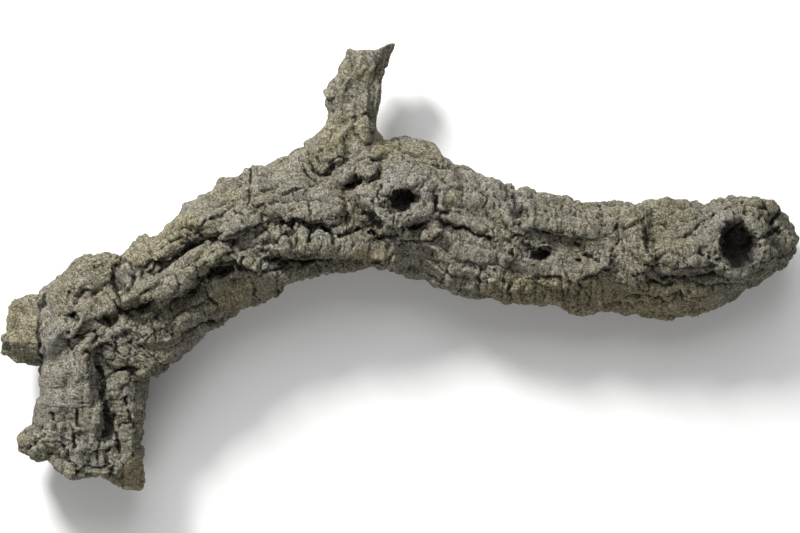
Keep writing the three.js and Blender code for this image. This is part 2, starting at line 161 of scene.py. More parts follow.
# Cracks without a raised edge: depth in millimetres, then half width and line in plan steps
CRACKS = [
    (5, 2.4, [(44, 295), (40, 310), (38, 330), (39, 350), (42, 364)]),
    (1.2, 1.8, [(8, 346), (18, 349), (30, 350), (38, 353)]),
    (6, 2.2, [(119, 256), (114, 268), (113, 280), (117, 292), (121, 301)]),
    (2.5, 1.6, [(133, 266), (136, 278), (131, 290)]), (3, 1.4, [(72, 287), (79, 291)]),
    (3, 1.3, [(92, 291), (97, 295)]),
    (4, 1.8, [(92, 326), (97, 320), (104, 317), (109, 320), (114, 331), (117, 337)]),
    (6, 2.2, [(113, 338), (116, 345), (118, 352)]), (4, 1.6, [(69, 340), (73, 352), (76, 363)]),
    (3, 1.3, [(122, 345), (133, 341), (146, 336)]),
    (2.5, 1.2, [(118, 330), (128, 322), (140, 321), (152, 328)]),
    (3.5, 1.5, [(150, 321), (155, 330), (157, 339)]), (4, 1.6, [(126, 380), (132, 373), (140, 366)]),
    (8, 2.8, [(97, 366), (104, 378), (102, 394), (107, 408), (109, 424), (105, 435)]),
    (8, 2.8, [(113, 415), (112, 424), (109, 431), (107, 436)]),
    (7, 2.6, [(115, 433), (118, 442), (119, 451)]), (7, 2.4, [(109, 448), (107, 455), (107, 463)]),
    (3.5, 1.8, [(99, 446), (97, 456), (100, 470)]), (3, 1.6, [(93, 444), (90, 453), (90, 462)]),
    (5, 1.8, [(114, 462), (111, 471)]), (5, 1.7, [(54, 413), (55, 429)]), (5, 1.8, [(77, 410), (76, 425)]),
    (6, 2.2, [(72, 430), (74, 448)]), (5, 1.8, [(62, 445), (65, 458)]),
    (4, 1.6, [(28, 449), (35, 442), (45, 437)]), (5, 2, [(49, 455), (58, 455), (66, 459), (76, 467)]),
    (5.5, 1.7, [(125, 397), (128, 408), (130, 420), (133, 427)]), (3, 1.3, [(119, 426), (128, 421)]),
    (2.5, 1.6, [(118, 457), (124, 466), (121, 478)]), (4, 1.5, [(252, 204), (256, 213), (262, 219)]),
    (3.5, 1.4, [(243, 212), (244, 221), (246, 228)]), (4, 1.6, [(310, 206), (309, 216), (310, 232)]),
    (5, 1.8, [(292, 221), (292, 232)]), (4.5, 1.7, [(296, 232), (296, 247)]),
    (4.5, 2, [(311, 224), (311, 242)]), (6, 2.8, [(325, 227), (331, 233), (333, 243)]),
    (3.5, 1.6, [(345, 236), (346, 250)]), (3.5, 1.4, [(320, 243), (320, 255)]),
    (3.5, 1.6, [(232, 239), (234, 251), (238, 259)]), (3.5, 1.5, [(262, 232), (263, 243), (261, 254)]),
    (5, 1.8, [(242, 257), (242, 264), (247, 270)]), (4, 1.5, [(249, 277), (254, 290), (260, 303)]),
    (4, 1.6, [(277, 274), (277, 295)]), (4.5, 1.8, [(205, 288), (208, 297), (216, 305)]),
    (4, 1.6, [(170, 300), (166, 308), (155, 318)]), (4, 1.7, [(196, 268), (199, 277), (205, 283)]),
    (4.5, 1.8, [(206, 262), (212, 270), (208, 283)]),
    (2, 1.2, [(352, 95), (352, 105), (358, 110), (358, 116)]),
    (3.5, 2.6, [(355, 118), (354, 129), (356, 140), (360, 146)]),
    (1.2, 1.1, [(356, 79), (365, 81), (375, 84)]), (1.5, 1.1, [(346, 89), (352, 96), (347, 104)]),
    (3, 1.4, [(333, 84), (336, 92), (334, 99)]), (2.5, 1.3, [(350, 55), (352, 66), (349, 76)]),
    (3, 1.4, [(332, 131), (328, 139), (324, 149), (319, 155)]),
    (4.5, 1.6, [(299, 156), (303, 168), (310, 176), (315, 181)]),
    (3.5, 1.4, [(309, 150), (311, 158), (314, 163)]), (5, 2.2, [(343, 198), (346, 209), (347, 221)]),
    (9, 3.2, [(369, 213), (374, 220), (379, 226)]), (6, 2.6, [(405, 228), (415, 227), (425, 224)]),
    (6, 2.4, [(437, 189), (436, 202), (437, 210)]), (5, 1.8, [(437, 208), (442, 213), (449, 214)]),
    (3.5, 1.4, [(402, 157), (409, 163)]), (3.5, 1.5, [(399, 139), (398, 150)]),
    (4, 1.7, [(380, 187), (378, 195), (372, 200)]), (4.5, 1.5, [(494, 229), (493, 238), (490, 242)]),
    (6, 2.3, [(512, 195), (515, 200), (514, 207)]), (3.5, 1.4, [(558, 239), (562, 241)]),
    (5, 1.9, [(615, 228), (619, 235), (616, 244)]), (4.5, 1.8, [(613, 249), (616, 257), (612, 264)]),
    (3, 1.4, [(600, 206), (602, 218), (605, 226)]), (4, 1.5, [(480, 266), (480, 294)]),
    (4, 1.5, [(509, 284), (509, 301)]), (3, 1.3, [(520, 280), (520, 291)]),
    (3.5, 1.4, [(562, 283), (561, 301)]), (3.5, 1.4, [(448, 267), (443, 280)]),
    (4.5, 1.6, [(579, 282), (584, 290), (590, 298)]), (3, 1.4, [(614, 300), (620, 305)]),
    (3, 1.3, [(537, 205), (540, 219), (538, 226)]), (3, 1.3, [(556, 203), (558, 218), (557, 231)]),
    (3, 1.3, [(463, 186), (462, 203)]), (3, 1.3, [(488, 190), (485, 204), (487, 216)]),
    (4, 1.5, [(634, 257), (640, 264), (646, 263)]), (4, 1.7, [(743, 201), (745, 211)]),
    (4, 1.7, [(762, 202), (765, 210)]), (5, 1.9, [(770, 223), (776, 219), (779, 212)]),
    (4, 1.6, [(779, 231), (785, 237), (788, 244)]), (3.5, 1.5, [(668, 216), (676, 209), (688, 207)]),
    (3, 1.4, [(632, 270), (636, 280), (643, 289)]),
]

# Holes: middle, two half widths and turn in plan steps and degrees, then depth and rim in millimetres
HOLES = [
    (75, 317, 4.6, 6, -30, 6, 0.6), (69, 333, 3, 3.4, 0, 6, 0), (158, 262, 9, 5, -30, 6, 0),
    (166, 334, 8, 9, 30, 5, 0), (82, 474, 7, 3, 0, 6, 0), (66, 452, 3, 4, 0, 6, 0),
    (518, 213, 8, 6.5, -20, 7, 0), (527, 250, 20, 12, 10, 3, 0), (530, 245, 9, 3.5, 20, 4, 0),
    (541, 255, 10, 4.5, -25, 7, 0.2), (510, 254, 5, 4, 20, 5, 0.4), (578, 259, 3.5, 2.6, 0, 5, 0.5),
    (588, 255, 6, 3, -15, 7, 0.4), (595, 258, 4, 3, 0, 5, 0.5), (578, 245, 2.6, 2, 0, 4, 0.4),
    (613, 258, 3, 4, 0, 6, 0.5), (400, 201, 19, 13, -25, 3, 1.8), (403, 200, 13, 9, -25, 4.5, 0),
    (735, 248, 18, 24, -15, 4, 1), (727, 257, 11, 10, 0, 5, 0), (703, 255, 3.2, 3.2, 0, 6, 0.4),
    (710, 259, 3, 3, 0, 5, 0), (694, 235, 2.6, 2.6, 0, 4, 0.3), (662, 223, 7, 4.6, -30, 6, 0),
    (226, 271, 14, 6.5, -8, 2, 0), (271, 242, 8, 4.4, -8, 5, 0), (351, 186, 6, 6, 0, 1.5, 0),
    (376, 221, 8, 6, 30, 2.5, 0), (573, 306, 4, 3, 0, 2, 1.2), (759, 221, 2, 2.2, 0, 3, 0),
]

# Lumps: middle, two half widths and turn in plan steps and degrees, then height in millimetres
LUMPS = [
    (89, 275, 28, 18, -30, 3), (124, 277, 10, 15, 0, 4), (139, 254, 12, 12, -20, 3.5),
    (152, 272, 10, 8, -40, 3), (92, 331, 13, 9, -25, 3), (92, 400, 8, 44, 0, 2.5),
    (118, 380, 13, 9, -25, 3), (39, 451, 9, 8, 0, 3.5), (27, 441, 8, 7, 0, 3), (65, 468, 12, 7, 40, 3),
    (76, 428, 4, 4, 0, 2.5), (177, 232, 14, 7, -15, 2.5), (236, 218, 15, 9, -25, 3.5),
    (209, 229, 11, 7, -20, 2.5), (272, 222, 9, 15, -15, 3.5), (283, 243, 8, 12, 0, 3),
    (303, 210, 8, 10, 0, 3), (316, 209, 6, 10, 0, 2.5), (303, 236, 7, 11, 0, 3), (318, 235, 6, 11, 0, 3),
    (198, 257, 14, 8, -28, 3), (188, 318, 16, 7, -25, 3.5), (163, 294, 11, 6, -25, 3),
    (250, 263, 7, 7, 0, 3.5), (246, 240, 10, 8, -15, 2.5), (329, 94, 5, 7, 0, 3.5), (366, 130, 8, 14, 0, 3),
    (368, 169, 13, 10, 0, 5), (431, 236, 12, 8, -25, 4), (413, 146, 14, 8, 0, 2.5),
    (382, 149, 12, 5, -15, 2.5), (524, 195, 8, 8, 0, 2.5), (632, 240, 10, 12, 0, 3),
    (634, 278, 5, 11, -15, 3), (643, 282, 4, 11, -15, 2.5), (688, 295, 8, 6, 20, 2.5),
    (685, 257, 28, 9, 5, 3.5), (728, 216, 6, 6, 30, 4), (733, 203, 10, 6, 0, 3), (755, 204, 9, 6, 0, 3),
    (772, 207, 7, 8, 0, 3), (757, 222, 14, 13, 0, 3.5), (739, 237, 9, 11, 0, 8), (760, 254, 9, 14, 20, 2),
]

# Rolls of bark: height in millimetres, half width in plan steps, and the middle line in plan steps
ROLLS = [
    (3.5, 9, [(650, 257), (670, 253), (690, 246), (706, 232), (720, 217)]),
    (3, 7, [(652, 273), (668, 267), (686, 263), (706, 267)]),
    (2.8, 7, [(654, 291), (676, 285), (700, 278), (726, 277), (744, 273)]),
    (2.6, 8, [(622, 222), (636, 212), (652, 205)]),
    (2.4, 8, [(633, 220), (631, 240), (633, 262), (636, 284)]),
    (2.5, 8, [(180, 236), (205, 222), (230, 212), (250, 205)]),
    (3, 7, [(160, 258), (185, 245), (205, 236), (222, 229)]), (3, 8, [(226, 232), (246, 222), (268, 211)]),
    (3.2, 10, [(272, 213), (295, 211), (320, 211), (335, 215)]),
    (3, 11, [(276, 246), (300, 243), (330, 244), (362, 247)]),
    (3, 8, [(152, 296), (175, 283), (198, 269), (212, 259)]),
    (2.4, 7, [(175, 324), (196, 315), (214, 309)]),
    (2, 3.6, [(311, 150), (314, 162), (322, 170), (333, 168), (340, 158), (341, 146)]),
    (2.2, 7, [(386, 184), (379, 197), (382, 214), (397, 223), (416, 221), (428, 208), (426, 189),
        (412, 179)]),
    (4.6, 4.4, [(508, 208), (505, 217), (511, 226), (521, 229), (530, 224), (533, 215), (529, 206),
        (519, 202)]),
    (2.2, 6, [(507, 236), (511, 228), (515, 222)]), (2.5, 10, [(452, 200), (475, 204), (500, 210)]),
    (2.4, 9, [(455, 250), (480, 257), (505, 262)]), (1.8, 14, [(54, 345), (52, 380), (49, 412), (50, 440)]),
    (2, 11, [(86, 352), (84, 384), (89, 412), (92, 446)]),
    (3, 6, [(112, 394), (117, 382), (128, 376), (142, 374)]),
    (1.8, 12, [(122, 376), (123, 410), (125, 442), (134, 476)]),
    (2.4, 6, [(536, 222), (560, 226), (584, 230)]),
    (2.4, 7, [(730, 204), (752, 206), (770, 213), (779, 226)]),
    (2.2, 6, [(762, 238), (770, 250), (768, 266)]),
]

# Rows of flutes across the limb: height in millimetres, then spacing, length and the line through their
# middles in plan steps
FLUTES = [
    (2, 8.5, 24, [(502, 290), (530, 293), (570, 293), (606, 292)]),
    (1.5, 9.5, 20, [(282, 246), (310, 244), (340, 245), (384, 250)]),
    (1.5, 12, 18, [(270, 213), (300, 212), (334, 215)]),
    (1.3, 10, 14, [(182, 236), (205, 224), (232, 212), (250, 205)]),
    (1.4, 8, 18, [(440, 275), (466, 279), (496, 284)]), (1.2, 9, 18, [(536, 217), (560, 218), (596, 221)]),
    (1.2, 8, 16, [(662, 254), (690, 246), (708, 230)]),
    (1.2, 9, 20, [(53, 350), (51, 380), (49, 412), (50, 436)]),
    (1.2, 9, 16, [(127, 384), (122, 410), (124, 438)]),
]

# Holes that are drawn wider: middle, two half widths and turn in plan steps and degrees, and the share
WIDER_HOLES = [
    (733, 246, 15, 20, -15, 0.65), (403, 201, 16, 12, -20, 0.8),
]

# Places where the outline is drawn in or out: middle, two half widths and turn in plan steps and degrees,
# and the way they go in plan steps, rightwards and downwards
PULLS = [
    (165, 220, 44, 26, -38, 4.5, 6.5), (62, 268, 28, 18, -45, 3, 3), (110, 251, 20, 14, 0, 0, 3.5),
    (147, 440, 14, 60, 0, -4.5, 0), (142, 451, 8, 10, 0, 2.5, 0), (99, 484, 28, 14, 0, 0, -5.5),
    (46, 471, 30, 14, 35, 3, -4.5), (33, 400, 12, 46, 0, 4, 0), (21, 437, 10, 10, 0, 2, 1.5),
    (178, 363, 28, 14, -35, -3, -3.5), (271, 294, 24, 14, -30, 3, 4), (213, 326, 14, 10, -30, 1.5, 2),
    (30, 300, 14, 12, -15, 0, -5), (5, 326, 10, 20, 0, 3.5, 0), (2, 347, 10, 14, 0, 3, 0),
    (3, 338, 16, 34, 0, 1.5, 0), (47, 286, 9, 8, -45, 2, 2.5), (81, 257, 10, 6, 0, 0, 1.5),
    (18, 358, 20, 10, 15, 0, -2), (334, 72, 11, 16, 20, 4, 1.5), (327, 108, 8, 12, 0, -3.5, 0),
    (382, 80, 10, 15, 0, 4.5, 0), (390, 48, 9, 9, 0, 3.5, -5), (392, 60, 7, 8, 0, -3.5, 0),
    (350, 50, 8, 8, 0, -2, -2.5), (380, 126, 9, 13, 0, -4.5, 0), (386, 137, 7, 6, 0, 0, -2.5),
    (706, 199, 42, 14, 0, 0, 4.5), (750, 195, 20, 10, 0, 0, 2.5), (735, 301, 50, 16, -25, -2, -4),
    (600, 318, 16, 12, 0, 0, -6), (656, 320, 16, 10, 0, 0, -3), (558, 311, 22, 12, 0, 0, -5.5),
    (522, 307, 20, 12, 0, 0, -4), (489, 303, 18, 12, 0, 0, -6), (453, 297, 24, 12, 20, -1, -5),
    (413, 275, 18, 10, 10, 0, 4.5), (370, 267, 16, 10, 0, 0, 3.5), (315, 277, 14, 8, 0, 0, 3),
    (465, 169, 22, 12, 20, 1.5, -4), (611, 205, 20, 12, 0, 0, -5), (583, 204, 12, 9, 0, 0, -3),
    (224, 181, 26, 12, -35, -2, -3), (285, 156, 24, 12, -30, 1.5, 3), (781, 267, 14, 10, -40, 2.5, 2.5),
    (797, 250, 9, 10, 0, -3.5, 0), (149, 233, 26, 16, -30, 2, 3), (193, 199, 18, 10, -30, 1.5, 2.5),
    (46, 285, 12, 10, -45, 2.5, 2.5), (114, 484, 16, 10, 30, -1, -3.5), (62, 476, 14, 9, 35, 2, -2.5),
    (86, 479, 14, 8, 0, 0, -2), (4, 328, 8, 16, 0, 2.5, 0), (12, 360, 14, 7, 15, 0, -2.5),
    (38, 372, 8, 10, 0, 3, 0), (26, 456, 8, 8, 0, 2, -2), (108, 251, 14, 8, 0, 0, 2),
    (167, 371, 12, 8, -30, -2, -2.5), (238, 314, 12, 9, -35, -2, -2), (253, 163, 10, 8, 0, 0.5, 3),
    (374, 47, 16, 8, 0, 0, 2), (540, 190, 18, 9, 0, 0, 2), (699, 200, 16, 8, 0, 0, 2),
    (690, 316, 26, 9, 0, 0, -1.5), (765, 281, 12, 10, -40, -2, -2.5),
]

# Patches, each with its middle, two half widths and turn in plan steps and degrees, and strength

# Charred wood in the holes
CHARRED_PATCHES = [
    (738, 249, 18, 23, -15, 1), (404, 201, 12, 9, -20, 0.75), (519, 213, 8, 6, -20, 0.9),
    (528, 247, 6, 5, 0, 0.7), (543, 256, 6, 4, -20, 0.9), (588, 255, 6, 3.5, -15, 0.8),
    (75, 317, 4, 5, 0, 0.8),
]

# Olive bark, most of it low on the sides
OLIVE_PATCHES = [
    (560, 296, 75, 20, 3, 0.8), (660, 300, 60, 20, 0, 0.8), (165, 240, 40, 16, -35, 0.5),
    (340, 132, 26, 22, 0, 0.35), (385, 148, 16, 8, 0, 0.4), (134, 474, 14, 16, 0, 0.9),
    (22, 325, 20, 22, 0, 0.5), (370, 258, 30, 10, 0, 0.6), (235, 295, 26, 16, -20, 0.6),
]

# Ash-grey bark around the knots and on the foot
ASHEN_PATCHES = [
    (402, 198, 38, 36, 0, 0.8), (735, 245, 40, 40, 0, 0.7), (520, 214, 18, 18, 0, 0.6),
    (75, 440, 40, 26, 20, 0.5), (470, 225, 34, 24, 0, 0.2), (56, 382, 26, 50, 0, 0.9),
    (90, 420, 20, 50, 0, 0.5),
]

# Bark with clear ribs across the limb
RIB_PATCHES = [
    (315, 230, 40, 26, 0, 0.8), (470, 205, 34, 22, 5, 0.5), (500, 285, 70, 18, 5, 1),
    (580, 215, 40, 14, 0, 0.6), (137, 350, 24, 46, 0, 0.9), (232, 297, 20, 13, -20, 0.8),
    (225, 205, 36, 16, -25, 0.4), (660, 300, 40, 12, 0, 0.6),
]

# Bark worn nearly smooth
SMOOTH_PATCHES = [
    (604, 292, 14, 12, 0, 0.9), (267, 288, 12, 14, 0, 0.9), (362, 145, 30, 12, 0, 0.5),
    (345, 140, 16, 18, 20, 0.6), (133, 474, 13, 14, 0, 0.9), (21, 322, 18, 20, 0, 0.8),
    (745, 295, 45, 14, -15, 0.8), (232, 297, 20, 14, -20, 0.9), (193, 292, 16, 8, -25, 0.8),
    (225, 200, 34, 13, -28, 0.6), (275, 180, 30, 14, -15, 0.6), (57, 380, 15, 38, 0, 0.85),
    (62, 405, 36, 20, 0, 0.6), (700, 235, 34, 26, 0, 0.4), (765, 220, 22, 22, 0, 0.5),
    (122, 388, 15, 24, 10, 0.6), (90, 395, 12, 42, 0, 0.5), (470, 215, 22, 10, 0, 0.5),
    (555, 262, 26, 12, 0, 0.6), (370, 250, 24, 8, -5, 0.8), (700, 278, 20, 8, -5, 0.6),
]

# Crumbling bark
CRUMBLY_PATCHES = [
    (400, 190, 48, 55, 0, 1), (735, 235, 45, 40, 0, 0.4), (330, 215, 24, 22, 0, 0.7),
    (250, 250, 22, 24, 0, 0.8), (585, 250, 26, 14, 0, 0.9), (150, 285, 22, 30, 0, 0.8),
    (60, 445, 30, 20, 0, 0.8), (520, 215, 18, 16, 0, 0.7), (640, 245, 24, 30, 0, 0.5),
    (85, 320, 26, 28, 0, 0.7),
]


# Camera, lights and floor

SKY_STRENGTH = 0.24
FLOOR_REACH = 6
FLOOR_GREY = 0.9

# Lights: name, place, width, power in watts, and tint. Each faces the middle of the branch
LIGHTS = [
    ("key_light", (-0.85, 1.2, 1.15), 0.4, 49, (1, 0.988, 0.97)),
    ("soft_light", (-0.1, 1.5, 1.9), 1.8, 30, (0.97, 0.985, 1)),
    ("low_light", (-0.7, -1.6, 1.2), 1.6, 11, (1, 0.99, 0.97)),
]


def placed(name, data):
    """A new object in the scene that shows the data."""
    made = bpy.data.objects.new(name, data)
    bpy.context.collection.objects.link(made)
    return made


def make_camera():
    """A long lens straight above the branch, so that its sides show as little as they can."""
    lens = bpy.data.cameras.new("plan_camera")
    lens.lens = LENS_MM
    lens.sensor_width = SENSOR_MM
    camera = placed("plan_camera", lens)
    camera.location = (AIM_X, 0, PLAN_HEIGHT + CAMERA_RISE)
    bpy.context.scene.camera = camera


def make_light(name, place, size, power, tint):
    """A square soft light that faces the middle of the branch."""
    lamp = bpy.data.lights.new(name, "AREA")
    lamp.size = size
    lamp.energy = power
    lamp.color = tint
    light = placed(name, lamp)
    light.location = place
    right, ahead, up = np.array((0, 0, PLAN_HEIGHT)) - place
    light.rotation_euler = (math.atan2(math.hypot(right, ahead), -up), 0, math.atan2(-right, ahead))


def make_surroundings():
    """Three soft lights, pale light all round, and a pale floor."""
    world = bpy.data.worlds.new("studio")
    bpy.context.scene.world = world
    world.use_nodes = True
    sky = world.node_tree.nodes["Background"]
    sky.inputs["Color"].default_value = (1, 1, 1, 1)
    sky.inputs["Strength"].default_value = SKY_STRENGTH
    for light in LIGHTS:
        make_light(*light)
    bpy.context.scene.view_settings.view_transform = "Standard"

    mesh = bpy.data.meshes.new("floor")
    corners = [(FLOOR_REACH * x, FLOOR_REACH * y, 0) for x, y in ((-1, -1), (1, -1), (1, 1), (-1, 1))]
    mesh.from_pydata(corners, [], [(0, 1, 2, 3)])
    floor = placed("floor", mesh)
    paper = Finish("floor_paper")
    paper.feed(paper.shader.inputs["Base Color"], (FLOOR_GREY,) * 3)
    paper.feed(paper.shader.inputs["Roughness"], 0.9)
    floor.data.materials.append(paper.material)


# Noise

# Large odd numbers that mix a cell's place and a seed, the twelve slopes that a corner can have, and what
# brings the noise to about 1 at its highest
STRIDES = np.array((374761393, 668265263, 1442695041), np.uint32)
SEED_STRIDE = 974634777
ALL_BITS = 0xFFFFFFFF
SLOPES = np.array([s for s in product((-1, 0, 1), repeat=3) if s.count(0) == 1], np.float32).T.copy()
FULL_SWING = 1.35


def lattice(points, size):
    """The cell of each point in a grid, as three rows of whole numbers, and its place in the cell."""
    place = (points / np.asarray(size, float)).T
    cell = np.floor(place)
    return cell.astype(np.int64).astype(np.uint32), np.ascontiguousarray(place - cell, np.float32)


def scrambled(mixed):
    """A repeatable whole number for each mixed one."""
    mixed = (mixed ^ (mixed >> np.uint32(15))) * np.uint32(2246822519)
    mixed = (mixed ^ (mixed >> np.uint32(13))) * np.uint32(3266489917)
    return mixed ^ (mixed >> np.uint32(16))


def mixed_rows(cell, seed, shifts):
    """For each of the three ways and each shift, what the cell's number adds to the mixed number."""
    start = np.uint32((seed * SEED_STRIDE) & ALL_BITS)
    rows = [{shift: (cell[k] + np.uint32(shift & ALL_BITS)) * STRIDES[k] for shift in shifts}
            for k in range(3)]
    rows[0] = {shift: row + start for shift, row in rows[0].items()}
    return rows


def swirl(points, size, seed):
    """Smooth noise from about -1 to 1, with lumps of the given size."""
    cell, part = lattice(points, size)
    rows = mixed_rows(cell, seed, (0, 1))
    fade = part * part * part * (part * (part * 6 - 15) + 10)
    total = np.zeros(part.shape[1], np.float32)
    for i, j, k in product((0, 1), repeat=3):
        pick = scrambled(rows[0][i] + rows[1][j] + rows[2][k]) % np.uint32(12)
        weight, slope = 1, 0
        for way, corner in enumerate((i, j, k)):
            weight = weight * (fade[way] if corner else 1 - fade[way])
            slope = slope + (part[way] - corner) * SLOPES[way][pick]
        total += weight * slope
    return total * FULL_SWING


def layers(points, size, seed, count=3):
    """Noise with finer noise on it, each layer half as large and half as strong."""
    size = np.asarray(size, float)
    return sum(swirl(points, size / 2 ** k, seed + 17 * k) / 2 ** k for k in range(count))


def scales(points, size, seed):
    """Cells like bark scales: closeness of the nearest edge, and each cell's own number from -1 to 1."""
    cell, part = lattice(points, size)
    rows = mixed_rows(cell, seed, (-1, 0, 1))
    first = np.full(part.shape[1], 9.0, np.float32)
    second = first.copy()
    mark = np.zeros(part.shape[1], np.uint32)
    for i, j, k in product((-1, 0, 1), repeat=3):
        drawn = scrambled(rows[0][i] + rows[1][j] + rows[2][k])
        gap = np.zeros(part.shape[1], np.float32)
        for shift, row, bits in zip((i, j, k), part, (0, 8, 16)):
            jitter = ((drawn >> np.uint32(bits)) & np.uint32(255)).astype(np.float32) * np.float32(0.8 / 255)
            gap += (shift + 0.1 + jitter - row) ** 2
        closer = gap < first
        second = np.where(closer, first, np.minimum(second, gap))
        mark = np.where(closer, drawn >> np.uint32(24), mark)
        first = np.where(closer, gap, first)
    return np.sqrt(second) - np.sqrt(first), mark / 127.5 - 1


def veins(points, size, seed, wide):
    """1 along thin winding lines and 0 elsewhere."""
    return 1 - ease(0, wide, np.abs(swirl(points, size, seed)))


def ease(low, high, value):
    """0 below low, 1 above high, and smooth between."""
    part = np.clip((value - low) / (high - low), 0, 1)
    return part * part * (3 - 2 * part)


def bell(value, middle, reach):
    """1 at the middle, falling away to both sides."""
    return np.exp(-((value - middle) / reach) ** 2)


def dome(ring):
    """A round dome, from 1 in the middle to 0 at its ring."""
    return np.sqrt(np.clip(1 - ring ** 2, 0, 1))


# Surfaces as arrays

class Skin:
    """The bark's surface: its points and its four-cornered faces."""

    def __init__(self, points, faces):
        self.points = points
        self.faces = faces
        self.here = faces.ravel()
        self.next = np.roll(faces, -1, axis=1).ravel()
        self.ties = np.bincount(self.here, minlength=len(points))[:, None]

    def gathered(self, values):
        """For each point, the sum of the values at the corners that meet there."""
        return np.stack([np.bincount(self.here, column, len(self.points)) for column in values.T], 1)

    def around(self, values):
        """The mean of each point's neighbours."""
        return self.gathered(values[self.next]) / self.ties

    def smoothed(self, values, rounds):
        for _ in range(rounds):
            values = 0.5 * values + 0.5 * self.around(values)
        return values

    def normals(self):
        corners = self.points[self.faces]
        flat = np.cross(corners[:, 2] - corners[:, 0], corners[:, 3] - corners[:, 1])
        total = self.gathered(np.repeat(flat, 4, axis=0))
        return total / np.maximum(np.linalg.norm(total, axis=1), TINY)[:, None]

    def grow(self, height, normals):
        """Moves each point out by its height."""
        self.points = self.points + normals * height[:, None]


def skin_of(mesh):
    """A mesh of four-cornered faces as arrays."""
    points = np.empty(len(mesh.vertices) * 3)
    mesh.vertices.foreach_get("co", points)
    corners = np.empty(len(mesh.loops), np.int32)
    mesh.loops.foreach_get("vertex_index", corners)
    return Skin(points.reshape(-1, 3), corners.reshape(-1, 4))


def remeshed(points, faces, cell):
    """One closed skin of even squares over the given faces, which are lists of corners."""
    mesh = bpy.data.meshes.new("form")
    mesh.from_pydata(points.tolist(), [], faces.tolist())
    form = placed("form", mesh)
    bpy.context.view_layer.objects.active = form
    form.select_set(True)
    mesh.remesh_voxel_size = cell
    mesh.remesh_voxel_adaptivity = 0
    mesh.use_remesh_fix_poles = False
    bpy.ops.object.voxel_remesh()
    skin = skin_of(form.data)
    bpy.data.objects.remove(form)
    return skin


def packed_solids():
    """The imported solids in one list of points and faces, each swollen a little so that they meet."""
    points, faces, count = [], [], 0
    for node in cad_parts.values():
        solid = bmesh.new()
        solid.from_mesh(node.data)
        solid.transform(node.matrix_world)
        bmesh.ops.remove_doubles(solid, verts=solid.verts, dist=1e-6)
        bmesh.ops.triangulate(solid, faces=solid.faces)
        solid.normal_update()
        solid.verts.index_update()
        points += [tuple(v.co + v.normal * SWELL) for v in solid.verts]
        faces += [tuple(count + v.index for v in f.verts) for f in solid.faces]
        count += len(solid.verts)
        solid.free()
    return np.array(points), np.array(faces)


# Grain: where a point lies along its limb

def threaded(stations):
    """A smooth line through the stations: its points, its directions and its lengths so far."""
    knots = np.array(stations, float) * MM
    knots = np.vstack([2 * knots[0] - knots[1], knots, 2 * knots[-1] - knots[-2]])
    part = np.linspace(0, 1, CURVE_CUTS, endpoint=False)[:, None]
    runs = []
    for a, b, c, d in zip(knots, knots[1:], knots[2:], knots[3:]):
        runs.append(0.5 * (2 * b + (c - a) * part + (2 * a - 5 * b + 4 * c - d) * part ** 2
                           + (3 * b - a - 3 * c + d) * part ** 3))
    line = np.vstack(runs + [knots[-2:-1]])
    length = np.append(0, np.cumsum(np.linalg.norm(np.diff(line, axis=0), axis=1)))
    even = np.arange(0, length[-1], LINE_STEP)
    line = np.stack([np.interp(even, length, line[:, k]) for k in range(3)], 1)
    ahead = np.gradient(line, axis=0)
    ahead /= np.linalg.norm(ahead, axis=1)[:, None]
    return line, ahead, even


def grain_on(points, stations):
    """Each point as metres along the limb, to its side and above it, and its distance from the middle."""
    line, ahead, length = threaded(stations)
    gap = (line ** 2).sum(axis=1) - 2 * points @ line.T
    nearest = np.argmin(gap, axis=1)
    offset = points - line[nearest]
    way = ahead[nearest]
    run = (offset * way).sum(axis=1)
    side = np.stack([way[:, 1], -way[:, 0], np.zeros(len(way))], 1)
    side /= np.linalg.norm(side, axis=1)[:, None]
    rise = np.cross(side, way)
    across = (offset * side).sum(axis=1)
    up = (offset * rise).sum(axis=1)
    return np.stack([length[nearest] + run, across, up], 1), np.linalg.norm(offset, axis=1)


def bark_grain(points):
    """The grain of the limb that a point belongs to, and its relief: less on a stub and where limbs join."""
    grain, reach = grain_on(points, TRUNK_LINE)
    join = np.ones(len(points))
    for stations, bulk, relief, shift in STUBS:
        other, distance = grain_on(points, stations)
        lead = reach - distance / bulk
        own = lead > 0
        other[:, 0] += shift
        grain[own] = other[own]
        join = np.minimum(join, np.clip(np.abs(lead) / JOIN_REACH, 0, np.where(own, relief, 1)))
    return grain, join


def plan_of(points):
    """Where the camera sees each point, in plan steps."""
    near = CAMERA_RISE / (CAMERA_RISE - (points[:, 2] - PLAN_HEIGHT))
    right = PLAN_MIDDLE[0] + (points[:, 0] - AIM_X) / PLAN_STEP * near
    down = PLAN_MIDDLE[1] - points[:, 1] / PLAN_STEP * near
    return np.stack([right, down], 1)


# Marks that are listed

def along_line(plan, line, margin):
    """For the points near a line: which they are, their distance, side and distance past its ends.

    The side is 1 on the left of the way the line runs, and -1 on its right."""
    line = np.array(line, float)
    low, high = line.min(axis=0) - margin, line.max(axis=0) + margin
    near = np.nonzero(((plan > low) & (plan < high)).all(axis=1))[0]
    spot = plan[near]
    best = np.full(len(near), np.inf)
    side = np.zeros(len(near))
    past = np.zeros(len(near))
    for k, (start, end) in enumerate(zip(line, line[1:])):
        way = end - start
        size = np.hypot(*way)
        way = way / size
        run = (spot - start) @ way
        held = np.clip(run, 0, size)
        gap = np.hypot(*(spot - start - held[:, None] * way).T)
        nearer = gap < best
        best = np.where(nearer, gap, best)
        turned = way[1] * (spot[:, 0] - start[0]) - way[0] * (spot[:, 1] - start[1])
        side = np.where(nearer, np.sign(turned), side)
        beyond = np.zeros(len(near))
        if k == 0:
            beyond = np.maximum(beyond, -run)
        if k == len(line) - 2:
            beyond = np.maximum(beyond, run - size)
        past = np.where(nearer, beyond, past)
    return near, best, side, past


